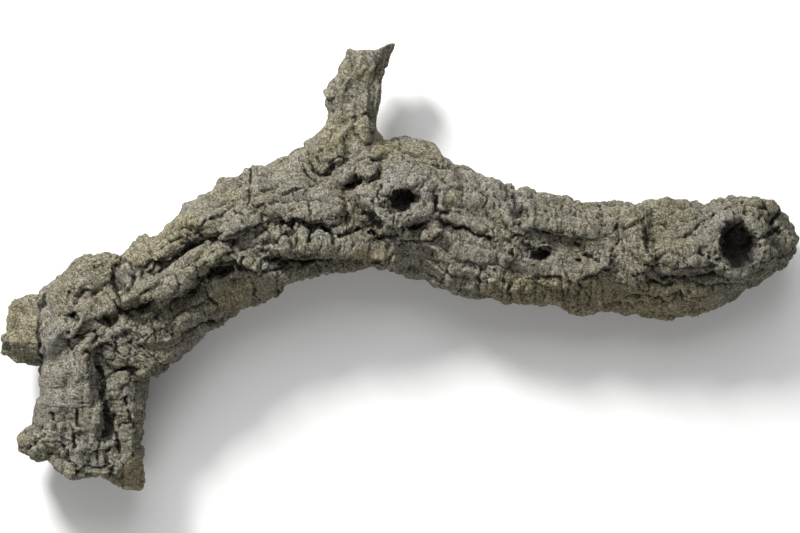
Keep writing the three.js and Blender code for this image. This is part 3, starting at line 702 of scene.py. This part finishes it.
def in_patch(plan, patch):
    """For the points near an oval: which they are, and 0 at its middle to 1 on its edge and on outwards."""
    right, down, wide, tall, turn = patch
    reach = OVAL_REACH * max(wide, tall)
    near = np.nonzero((np.abs(plan - (right, down)) < reach).all(axis=1))[0]
    turn = math.radians(turn)
    x, y = (plan[near] - (right, down)).T
    along = x * math.cos(turn) + y * math.sin(turn)
    across = y * math.cos(turn) - x * math.sin(turn)
    return near, np.hypot(along / wide, across / tall)


def patches(plan, listed):
    """How far each point is inside any of the listed patches, from 0 to their strength."""
    total = np.zeros(len(plan))
    for *oval, strength in listed:
        near, ring = in_patch(plan, oval)
        total[near] = np.maximum(total[near], strength * (1 - ease(0.7, 1.25, ring)))
    return total


def cracks(plan, points):
    """Depth in metres of the listed cracks, and how much each point is in one."""
    depth = np.zeros(len(plan))
    for cut, wide, line in CRACKS + [edge[1:] for edge in RAISED_EDGES]:
        near, gap, _, _ = along_line(plan, line, 3 * wide + 2)
        depth[near] = np.maximum(depth[near], cut * bell(gap, 0, wide))
    ragged = 0.9 + 0.55 * layers(points, 7 * MM, 401, 2)
    depth = np.minimum(depth * CUT_SHARE * MM * ragged, DEEPEST_CUT)
    return depth, ease(0.9 * MM, 3.2 * MM, depth)


def roll_on(plan, line, tall, wide):
    """For the points near a line: which they are, and the height of a roll along it with a moat around."""
    near, gap, _, past = along_line(plan, line, 1.6 * wide)
    ring = np.hypot(gap, past) / wide
    return near, (tall * dome(ring) - 0.22 * tall * bell(ring, 1.1, 0.2)) * bell(past, 0, 1.2 * wide)


def flute_lines(spacing, size, line):
    """Short lines across a longer one, at uneven places about the given spacing."""
    line = np.array(line, float)
    length = np.append(0, np.cumsum(np.hypot(*np.diff(line, axis=0).T)))
    for place in np.arange(spacing / 2, length[-1], spacing):
        place = place + 0.3 * spacing * math.sin(5 * place)
        middle = np.array([np.interp(place, length, line[:, k]) for k in range(2)])
        k = min(np.searchsorted(length, place), len(line) - 1)
        way = line[k] - line[k - 1]
        way = way / np.hypot(*way)
        half = np.array([-way[1], way[0]]) * size / 2
        lean = way * 1.5 * math.sin(3 * place)
        yield [middle - half - lean, middle + half + lean]


def uneven_share(line):
    """A repeatable share from 0.4 to 1 for a line."""
    return 0.7 + 0.3 * math.sin(1.7 * line[0][0] + 2.3 * line[0][1])


def raised_marks(plan, points):
    """Height in metres of the listed raised edges, holes, lumps, rolls and flutes."""
    height = np.zeros(len(plan))
    uneven = 1 + 0.9 * swirl(points, 9 * MM, 421)
    torn = layers(points, 5 * MM, 431, 2)
    for lift, _, _, line in RAISED_EDGES:
        near, gap, side, past = along_line(plan, line, LIFT_REACH * 2)
        step = np.where(side > 0, bell(gap, 0, LIFT_REACH), -0.5 * bell(gap, 0, DROP_REACH))
        height[near] += MM * lift * bell(past, 0, END_REACH) * step
    for *oval, deep, rim in HOLES:
        near, ring = in_patch(plan, oval)
        ring = ring * (1 + 0.5 * torn[near])
        bowl = -deep * (1 - ease(0.35, 1.05, ring))
        lip = rim * bell(ring, 1.25, 0.25)
        height[near] += MM * (bowl + lip * uneven[near])
    for *oval, tall in LUMPS:
        near, ring = in_patch(plan, oval)
        height[near] += MM * (tall * dome(ring) - 0.35 * tall * bell(ring, 1.08, 0.16))
    for tall, wide, line in ROLLS:
        near, roll = roll_on(plan, line, tall, wide)
        height[near] += MM * roll
    for tall, spacing, size, line in FLUTES:
        for flute in flute_lines(spacing, size, line):
            near, roll = roll_on(plan, flute, tall * uneven_share(flute), 0.55 * spacing)
            height[near] += MM * roll
    return height


# Bark that covers the whole branch

def terraced(height):
    """The height, in millimetres, broken into the thin layers that cork grows in."""
    level = height / LAYER_MM
    whole = np.floor(level)
    return LAYER_MM * (0.35 * level + 0.65 * (whole + ease(0.3, 0.7, level - whole)))


def wandered(plan, points):
    """The plan with its lines made ragged."""
    drift = np.stack([layers(points, 9 * MM, seed) for seed in (301, 302)], 1) * 2
    fine = np.stack([swirl(points, 3 * MM, seed) for seed in (303, 304)], 1) * 0.4
    return plan + drift + fine


def upper_side(plan, normals):
    """How far each point faces up, and the share of relief that wear has left it."""
    facing = ease(0, 0.35, normals[:, 2])
    return facing, 1 - patches(plan, SMOOTH_PATCHES) * facing


def coarse_bark(points, normals):
    """Rows of bark with cross cracks, lumps and deep cracks, millimetres high, that run with each limb.

    Where a size has three parts, they are along the limb, to its side and above it."""
    grain, join = bark_grain(points)
    bend = np.stack([layers(grain, 26 * MM, 11 + k) for k in range(3)], 1) * (9 * MM, 5 * MM, 5 * MM)
    bent = grain + bend
    edge, mark = scales(bent, (64 * MM, 16 * MM, 16 * MM), 31)
    rows = mark + 0.9 - 3.4 * (1 - ease(0, 0.28, edge))
    bent[:, 0] += 25 * MM * mark
    cross = np.abs(swirl(bent, (11 * MM, 34 * MM, 34 * MM), 57))
    pillows = 2.6 * ease(-0.12, 0.3, cross) - 1.7
    lumps = 0.75 * layers(points, 17 * MM, 59, 2)
    swell = 3.2 * swirl(grain, (50 * MM, 20 * MM, 20 * MM), 71)
    layered = terraced(rows + pillows + lumps + swell + 0.25 * layers(points, 5 * MM, 73, 2))
    plan = plan_of(points)
    facing, relief = upper_side(plan, normals)
    # Quieter where the listed marks are seen, and a little thinner on the sides
    quieter = 1 - 0.45 * facing
    thinner = 0.4 * (1 - np.abs(normals[:, 2]))
    height = (layered * join * relief * quieter - thinner) * MM
    ragged = wandered(plan, points)
    depth, _ = cracks(ragged, points)
    marks = raised_marks(ragged, points) - depth
    return height + TALLEST_MARK * np.tanh(marks / TALLEST_MARK) * facing


def fine_bark(points, normals):
    """Ribs, crumbs and grains up to a millimetre or so high, and how much each point is in a crack, where
    the finish paints shade.
    """
    grain, _ = bark_grain(points)
    plan = plan_of(points)
    facing, relief = upper_side(plan, normals)
    crumbly = 0.1 + 0.45 * np.maximum(patches(plan, CRUMBLY_PATCHES) * facing,
                                      ease(0.2, 0.6, swirl(points, 42 * MM, 199)))
    patchy = ease(-0.3, 0.2, swirl(grain, 38 * MM, 201))
    ribbed = np.maximum(patches(plan, RIB_PATCHES) * facing, 0.25 + 0.4 * patchy)
    bend = layers(grain, 14 * MM, 205, 2)[:, None] * (5 * MM, 0, 0)
    ribs = ease(-0.1, 0.28, np.abs(swirl(grain + bend, (5 * MM, 20 * MM, 20 * MM), 207)))
    lines = swirl(grain + bend, (2.6 * MM, 14 * MM, 14 * MM), 209)
    shaken = points + 0.5 * MM * layers(points, 4 * MM, 210, 2)[:, None]
    edge, mark = scales(shaken, 3.4 * MM, 211)
    crumbs = 0.22 * mark - 0.3 * (1 - ease(0, 0.32, edge))
    grit = 0.28 * layers(points, 5 * MM, 221, 2)
    fissures = 0.5 * ease(0.1, 0.5, swirl(points, 30 * MM, 229)) * veins(points, 8 * MM, 231, 0.1)
    _, shade = cracks(wandered(plan, points), points)
    ribs = ribbed * (1.2 * (ribs - 0.7) + 0.4 * lines)
    height = ribs + (crumbs * crumbly + grit - fissures) * (0.4 + 0.6 * relief)
    return height * MM, shade * facing


def redrawn(points):
    """The points with the knot holes drawn wider and the outline drawn in or out."""
    plan = plan_of(points)
    moved = points.copy()
    # Inside this share of its doubled size a hole widens evenly, and outside it less and less
    core = 0.25
    for *oval, share in WIDER_HOLES:
        near, ring = in_patch(plan, (oval[0], oval[1], 2 * oval[2], 2 * oval[3], oval[4]))
        pull = share * core / np.maximum(core, ring) * (1 - ease(core, 1, ring))
        moved[near, 0] += (plan[near, 0] - oval[0]) * PLAN_STEP * pull
        moved[near, 1] -= (plan[near, 1] - oval[1]) * PLAN_STEP * pull
    for *oval, right, down in PULLS:
        near, ring = in_patch(plan, oval)
        pull = 1 - ease(0.1, 1, ring)
        moved[near, 0] += right * PLAN_STEP * pull
        moved[near, 1] -= down * PLAN_STEP * pull
    return moved


def dressed_skin():
    """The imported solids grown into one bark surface, with cracks, ledges, knots and crumbs."""
    points, faces = packed_solids()
    skin = remeshed(points, faces, FORM_CELL)
    skin.points = redrawn(skin.smoothed(skin.points, FORM_SMOOTHING))
    normals = skin.normals()
    skin.grow(coarse_bark(skin.points, normals), normals)
    skin = remeshed(skin.points, skin.faces, BARK_CELL)
    normals = skin.normals()
    height, cracked = fine_bark(skin.points, normals)
    skin.grow(height, normals)
    skin.points[:, 2] = np.maximum(skin.points[:, 2], 0)
    return skin, cracked


# Pieces

LIMBS = ("foot_limb", "left_stub", "arch_limb", "upright_stub", "right_limb")
FOOT, LEFT, ARCH, UPRIGHT, RIGHT = range(len(LIMBS))


def fork_side(points, fork):
    """Positive on the left of a fork's line, seen from above."""
    (x0, y0), (x1, y1) = np.array(fork, float) * MM
    return (x1 - x0) * (points[:, 1] - y0) - (y1 - y0) * (points[:, 0] - x0)


def limb_numbers(points):
    """Which limb each point belongs to, by the fork planes."""
    past_elbow = fork_side(points, ELBOW_FORK) > 0
    past_crown = fork_side(points, CROWN_FORK) > 0
    upright = (fork_side(points, UPRIGHT_FORK) > 0) & (points[:, 0] > UPRIGHT_FORK_LEFT * MM)
    left = (points[:, 0] < LEFT_FORK_X * MM) & (points[:, 1] > LEFT_FORK_LOW * MM)
    return np.select([upright, left, ~past_elbow, ~past_crown], [UPRIGHT, LEFT, FOOT, ARCH], RIGHT)


def capped(skin, chosen):
    """The chosen faces, with their open rims closed inside the limb.

    Gives the points, the faces, the caps, the old number of each point, and which are away from a rim."""
    faces = skin.faces[chosen]
    kept, faces = np.unique(faces, return_inverse=True)
    faces = faces.reshape(-1, 4)
    points = skin.points[kept]
    start, end = faces.ravel(), np.roll(faces, -1, axis=1).ravel()
    size = len(kept)
    rim = ~np.isin(start * size + end, end * size + start)
    start, end = start[rim], end[rim]
    loop = np.arange(size)
    while True:
        low = np.minimum(loop[start], loop[end])
        before = loop.copy()
        np.minimum.at(loop, start, low)
        np.minimum.at(loop, end, low)
        if (before == loop).all():
            break
    middle = points.mean(axis=0)
    added, caps = [], []
    for mark in np.unique(loop[start]):
        own = loop[start] == mark
        centre = points[start[own]].mean(axis=0)
        inward = middle - centre
        centre = centre + inward / np.linalg.norm(inward) * CAP_DEPTH
        number = size + len(added)
        added.append(centre)
        caps += [(b, a, number) for a, b in zip(start[own].tolist(), end[own].tolist())]
    free = np.setdiff1d(np.arange(size), np.concatenate([start, end]))
    return np.vstack([points, np.array(added)]), faces, caps, kept, free


def built_mesh(name, points, faces, caps):
    """A mesh from four-cornered faces and three-cornered caps."""
    mesh = bpy.data.meshes.new(name)
    mesh.vertices.add(len(points))
    mesh.vertices.foreach_set("co", points.ravel())
    caps = np.array(caps, np.int32).reshape(-1, 3)
    corners = np.append(faces, caps).astype(np.int32)
    starts = np.append(np.arange(len(faces)) * 4, faces.size + np.arange(len(caps)) * 3).astype(np.int32)
    mesh.loops.add(len(corners))
    mesh.loops.foreach_set("vertex_index", corners)
    mesh.polygons.add(len(starts))
    mesh.polygons.foreach_set("loop_start", starts)
    mesh.update(calc_edges=True)
    mesh.validate()
    return mesh


def add_layer(mesh, name, values):
    """Numbers or vectors kept on the mesh's points for the finish."""
    kind, part = ("FLOAT", "value") if values.ndim == 1 else ("FLOAT_VECTOR", "vector")
    mesh.attributes.new(name, kind, "POINT").data.foreach_set(part, values.ravel())


def shade_by_whole(mesh):
    """Smooth shading by the normals of the uncut bark, so that no line shows between two pieces."""
    normals = np.empty(len(mesh.vertices) * 3, np.float32)
    layer = mesh.attributes["up"]
    layer.data.foreach_get("vector", normals)
    normals = normals.reshape(-1, 3)
    normals /= np.maximum(np.linalg.norm(normals, axis=1), TINY)[:, None]
    mesh.attributes.remove(layer)
    mesh.polygons.foreach_set("use_smooth", np.ones(len(mesh.polygons), bool))
    mesh.normals_split_custom_set_from_vertices(normals)


def thin_out(piece, free_points):
    """The piece with fewer triangles where it has too many, and its rims as they are."""
    triangles = sum(len(p.vertices) - 2 for p in piece.data.polygons)
    if triangles <= MOST_TRIANGLES:
        return
    free = piece.vertex_groups.new(name="free")
    free.add(free_points.tolist(), 1, "REPLACE")
    fewer = piece.modifiers.new("fewer", "DECIMATE")
    fewer.ratio = MOST_TRIANGLES / triangles
    fewer.vertex_group = "free"
    fewer.vertex_group_factor = 0
    graph = bpy.context.evaluated_depsgraph_get()
    mesh = bpy.data.meshes.new_from_object(piece.evaluated_get(graph))
    piece.modifiers.remove(fewer)
    old = piece.data
    piece.data = mesh
    bpy.data.meshes.remove(old)
    piece.vertex_groups.clear()


def surface_marks(skin, normals):
    """Numbers for the finish at each point: pits and hollows, where it paints shade, crests, where it paints
    a highlight, and the patches of colour.
    """
    near = skin.smoothed(skin.points, 4)
    wide = skin.smoothed(near, 24)
    small = ((near - skin.points) * normals).sum(axis=1)
    large = ((wide - near) * normals).sum(axis=1)
    plan = plan_of(skin.points)
    above = normals[:, 2] > -0.3
    return {
        "pit": np.clip(small / PIT_DEPTH, -1, 1),
        "hollow": np.clip(large / HOLLOW_DEPTH, -1, 1),
        "olive": patches(plan, OLIVE_PATCHES),
        "ashen": patches(plan, ASHEN_PATCHES),
        "char": patches(wandered(plan, skin.points), CHARRED_PATCHES) * above,
    }


def make_pieces(bark):
    """The bark of each limb as a piece of its own, cut from the one skin."""
    skin, cracked = dressed_skin()
    normals = skin.normals()
    marks = surface_marks(skin, normals)
    # How far each point is in a crack, for the painted shade there
    marks["crack"] = cracked
    grain, _ = bark_grain(skin.points)
    numbers = limb_numbers(skin.points[skin.faces].mean(axis=1))
    for number, node in enumerate(LIMBS):
        points, faces, caps, kept, free = capped(skin, numbers == number)
        blank = len(points) - len(kept)
        mesh = built_mesh(node + "_bark", points, faces, caps)
        for name, values in {**marks, "grain": grain, "up": normals}.items():
            own = values[kept]
            add_layer(mesh, name, np.concatenate([own, np.ones((blank,) + own.shape[1:])]))
        piece = placed(node + "_bark", mesh)
        thin_out(piece, free)
        shade_by_whole(piece.data)
        piece.data.materials.append(bark)
        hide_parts(node)
        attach(piece, BODY)


# Finish of the bark

class Tone:
    """A socket of a finish. Sums on tones add Math nodes."""

    def __init__(self, finish, socket):
        self.finish = finish
        self.socket = socket

    def _sum(self, kind, first, second):
        return self.finish.node("ShaderNodeMath", {"operation": kind}, {0: first, 1: second})[0]

    def __add__(self, other):
        return self._sum("ADD", self, other)

    __radd__ = __add__

    def __sub__(self, other):
        return self._sum("SUBTRACT", self, other)

    def __rsub__(self, other):
        return self._sum("SUBTRACT", other, self)

    def __mul__(self, other):
        return self._sum("MULTIPLY", self, other)

    __rmul__ = __mul__

    def held(self):
        """The tone kept from 0 to 1."""
        return self.finish.node("ShaderNodeClamp", {}, {"Value": self})[0]


class Finish:
    """A material in the making."""

    def __init__(self, name):
        self.material = bpy.data.materials.new(name)
        self.material.use_nodes = True
        self.tree = self.material.node_tree
        self.shader = self.tree.nodes["Principled BSDF"]

    def node(self, kind, settings, values):
        """A node with its settings, then the values or links of its sockets. Returns its outputs in use."""
        made = self.tree.nodes.new(kind)
        for name, setting in settings.items():
            setattr(made, name, setting)
        for key, value in values.items():
            self.feed(made.inputs[key], value)
        return [Tone(self, out) for out in made.outputs if out.enabled]

    def feed(self, socket, value):
        """Links a tone to a socket, or sets its number or colour."""
        if isinstance(value, Tone):
            self.tree.links.new(value.socket, socket)
        elif socket.type == "RGBA":
            socket.default_value = (*value, 1)
        else:
            socket.default_value = value

    def layer(self, name):
        """What the mesh's points keep under a name, as a vector and as a number."""
        return self.node("ShaderNodeAttribute", {"attribute_name": name}, {})[1:3]

    def noise(self, place, scale, detail=3, rough=0.55, warp=0):
        values = {"Vector": place, "Scale": scale, "Detail": detail, "Roughness": rough, "Distortion": warp}
        return self.node("ShaderNodeTexNoise", {}, values)[0]

    def stretch(self, place, amounts):
        return self.node("ShaderNodeVectorMath", {"operation": "MULTIPLY"}, {0: place, 1: amounts})[0]

    def between(self, value, low, high):
        """0 where the value is low, 1 where it is high."""
        values = {"Value": value, "From Min": low, "From Max": high}
        return self.node("ShaderNodeMapRange", {"interpolation_type": "SMOOTHSTEP"}, values)[0]

    def near(self, value, middle, reach):
        """1 where the value is at the middle, 0 beyond its reach."""
        off = self.node("ShaderNodeMath", {"operation": "ABSOLUTE"}, {0: value - middle})[0]
        return self.between(off, reach, 0)

    def blend(self, mask, first, second):
        """The first colour where the mask is 0 and the second where it is 1."""
        return self.node("ShaderNodeMix", {"data_type": "RGBA"}, {"Factor": mask, 6: first, 7: second})[0]


def srgb(red, green, blue):
    """A colour as painted on a screen, from 0 to 255, as the shader's own numbers."""
    parts = (red / 255, green / 255, blue / 255)
    return tuple(c / 12.92 if c <= 0.04045 else ((c + 0.055) / 1.055) ** 2.4 for c in parts)


def make_bark():
    """Grey and olive cork bark, gritty all over, with painted shade in its cracks, pits, hollows and the
    gaps between its crumbs, and a painted highlight on its crests.
    """
    bark = Finish("weathered_cork_bark")
    between = bark.between
    place = bark.node("ShaderNodeTexCoord", {}, {})[3]
    grain, _ = bark.layer("grain")
    pit, hollow, olive, ashen, crack, char = (
        bark.layer(name)[1] for name in ("pit", "hollow", "olive", "ashen", "crack", "char"))

    broad = bark.noise(place, 22, 4)
    moss = bark.noise(place, 48, 4)
    blotch = bark.noise(place, 140, 4, 0.6, 0.4)
    speck = bark.noise(place, 700, 3, 0.7)
    grit = bark.noise(place, 900, 3, 0.7)
    streak = bark.noise(bark.stretch(grain, (0.5, 1.6, 1.6)), 60, 5)
    across = bark.noise(bark.stretch(grain, (1, 0.2, 0.2)), 420, 4, 0.65, 0.3)
    split = bark.noise(bark.stretch(grain, (1, 0.35, 0.35)), 180, 3, 0.55, 0.6)
    seam = bark.noise(bark.stretch(grain, (0.3, 1, 1)), 130, 3, 0.55, 0.6)
    thin = bark.near(split, 0.5, 0.022) + bark.near(seam, 0.5, 0.018)

    bending = bark.node("ShaderNodeTexNoise", {}, {"Vector": place, "Scale": 350})[1]
    bent = bark.node("ShaderNodeVectorMath", {"operation": "MULTIPLY_ADD"},
                     {0: bending, 1: (1.6 * MM,) * 3, 2: place})[0]
    crumb, crumb_tone, _ = bark.node("ShaderNodeTexVoronoi", {}, {"Vector": bent, "Scale": 430})
    shade = bark.node("ShaderNodeSeparateColor", {}, {0: crumb_tone})[0]

    # Coats of paint, each over the last: where it shows, how strong, and its colour on a screen
    coats = [
        (olive, 0.75, (172, 157, 104)),
        (ashen, 0.7, (163, 161, 153)),
        (between(streak, 0.45, 0.75), 0.45, (152, 136, 120)),
        (between(moss, 0.52, 0.68), 0.35, (148, 144, 106)),
        (between(blotch, 0.62, 0.34), 0.35, (80, 75, 61)),
        (between(shade, 0.45, 1), 0.2, (180, 176, 158)),
        (between(shade, 0.5, 0), 0.12, (66, 62, 52)),
        # Painted shade in the gaps between crumbs
        (between(crumb, 0.45, 0.8), 0.32, (48, 44, 35)),
        (between(speck, 0.51, 0.68), 0.65, (206, 202, 186)),
        (between(speck, 0.49, 0.34), 0.6, (56, 52, 42)),
        # Painted shade in small pits and in larger hollows, then a painted highlight on crests
        (between(pit, 0.05, 0.8), 0.75, (38, 34, 27)),
        (between(hollow, 0.1, 0.9), 0.75, (36, 32, 25)),
        (between(pit, -0.15, -0.9), 0.4, (190, 187, 170)),
        # Painted shade in the cracks
        (between(crack, 0.15, 0.9), 0.8, (26, 23, 18)),
        (char, 0.85, (38, 36, 34)),
        (between(across, 0.52, 0.3), 0.35, (62, 57, 45)),
        (thin.held(), 0.45, (36, 33, 27)),
    ]
    colour = bark.blend(between(broad, 0.35, 0.65), srgb(151, 147, 135), srgb(140, 134, 109))
    for mask, strength, paint in coats:
        colour = bark.blend(mask * strength, colour, srgb(*paint))

    relief = 2.3 * grit - 0.2 * crumb + 0.4 * blotch + 2 * across - 0.7 * thin
    bump = bark.node("ShaderNodeBump", {}, {"Height": relief, "Strength": 1, "Distance": 1 * MM})[0]

    bark.feed(bark.shader.inputs["Base Color"], colour)
    bark.feed(bark.shader.inputs["Roughness"], 0.9)
    bark.feed(bark.shader.inputs["Specular IOR Level"], 0.2)
    bark.feed(bark.shader.inputs["Normal"], bump)
    return bark.material


make_camera()
make_surroundings()
make_pieces(make_bark())
